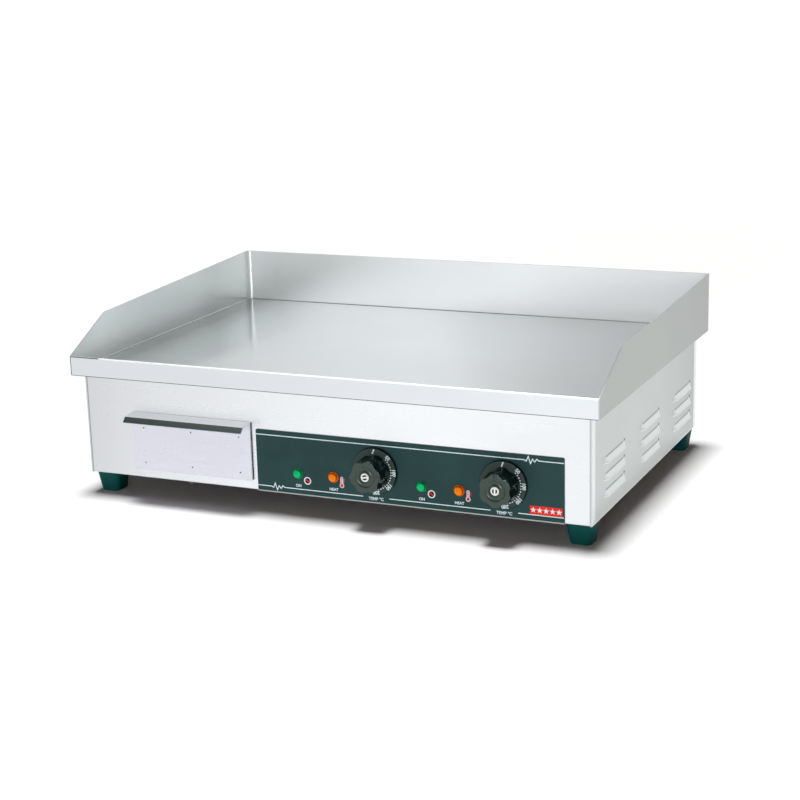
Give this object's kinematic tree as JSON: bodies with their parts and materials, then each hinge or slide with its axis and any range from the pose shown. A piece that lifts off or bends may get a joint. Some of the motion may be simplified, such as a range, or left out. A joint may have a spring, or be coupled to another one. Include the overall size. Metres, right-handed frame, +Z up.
{
  "type": "electric griddle",
  "caption": "Countertop electric griddle: flat steel plate inside splash guards on a louvred steel casing, with a pull-out grease drawer, thermostat knobs and signal lamps.",
  "frame": {"origin": "on the worktop, under the middle of the object's box (pan and knobs together)", "axes": "+X to the user's right along the pan's length, +Y from the controls to the rear guard, +Z up"},
  "size_m": [0.73, 0.52, 0.2455],
  "materials": {
    "casing_steel": "fine brushed stainless steel with a soft satin sheen",
    "plate_steel": "ground steel cooking plate, brushed along its length",
    "plain_sheet": "plain mill-finish sheet",
    "panel_print": "dark slate print, satin",
    "dial_black": "moulded scale ring, satin",
    "knob_black": "glossy moulded phenolic",
    "cap_white": "white insert",
    "lens_green": "translucent green lens",
    "lens_orange": "translucent orange lens",
    "foot_plastic": "moulded dark green-black plastic",
    "fastener_steel": "zinc-plated steel",
    "element_sheath": "heat-darkened stainless tube",
    "fibre_blanket": "white ceramic fibre felt",
    "white_ceramic": "unglazed steatite",
    "black_nylon": "moulded nylon and phenolic",
    "capillary_copper": "drawn copper tube and bulb"
  },
  "bodies": {
    "housing": {"base_plate": "plain_sheet", "base_screws": "fastener_steel", "bulb_clips": "plain_sheet", "cable_gland": "black_nylon", "clamp_nuts": "fastener_steel", "clamp_studs": "fastener_steel", "control_panel": "panel_print", "drain_spout": "plain_sheet", "earth_stud": "fastener_steel", "element_clamp_bars": "plain_sheet", "foot_nuts": "fastener_steel", "foot_screws": "fastener_steel", "front_fascia": "casing_steel", "front_left_foot": "foot_plastic", "front_panel": "casing_steel", "front_right_foot": "foot_plastic", "gland_nut": "black_nylon", "griddle_plate": "plate_steel", "heat_shield": "plain_sheet", "insulation_blanket": "fibre_blanket", "lamp_holders": "black_nylon", "left_capillary": "capillary_copper", "left_dial": "dial_black", "left_heat_lens": "lens_orange", "left_heating_element": "element_sheath", "left_power_lens": "lens_green", "left_runner": "plain_sheet", "left_side_panel": "casing_steel", "left_splash_guard": "casing_steel", "left_thermostat": "black_nylon", "rear_left_foot": "foot_plastic", "rear_panel": "casing_steel", "rear_right_foot": "foot_plastic", "rear_splash_guard": "casing_steel", "right_capillary": "capillary_copper", "right_dial": "dial_black", "right_heat_lens": "lens_orange", "right_heating_element": "element_sheath", "right_power_lens": "lens_green", "right_runner": "plain_sheet", "right_side_panel": "casing_steel", "right_splash_guard": "casing_steel", "right_thermostat": "black_nylon", "terminal_block": "white_ceramic", "terminal_bushings": "white_ceramic", "thermostat_screws": "fastener_steel"},
    "drawer": {"grease_tray": "plain_sheet", "drawer_front": "casing_steel"},
    "left_knob_set": {"left_knob": "knob_black", "left_knob_cap": "cap_white", "left_thermostat_shaft": "fastener_steel"},
    "right_knob_set": {"right_knob": "knob_black", "right_knob_cap": "cap_white", "right_thermostat_shaft": "fastener_steel"}
  },
  "joints": [
    {"name": "drawer_slide", "type": "slide", "parent": "housing", "child": "drawer", "axis": [0, -1, 0], "range_m": [0, 0.34]},
    {"name": "left_knob_turn", "type": "hinge", "parent": "housing", "child": "left_knob_set", "pos_m": [0.0705, -0.24, 0.071], "axis": [0, 1, 0], "range_deg": [-80, 196]},
    {"name": "right_knob_turn", "type": "hinge", "parent": "housing", "child": "right_knob_set", "pos_m": [0.2415, -0.24, 0.071], "axis": [0, 1, 0], "range_deg": [0, 276]}
  ]
}
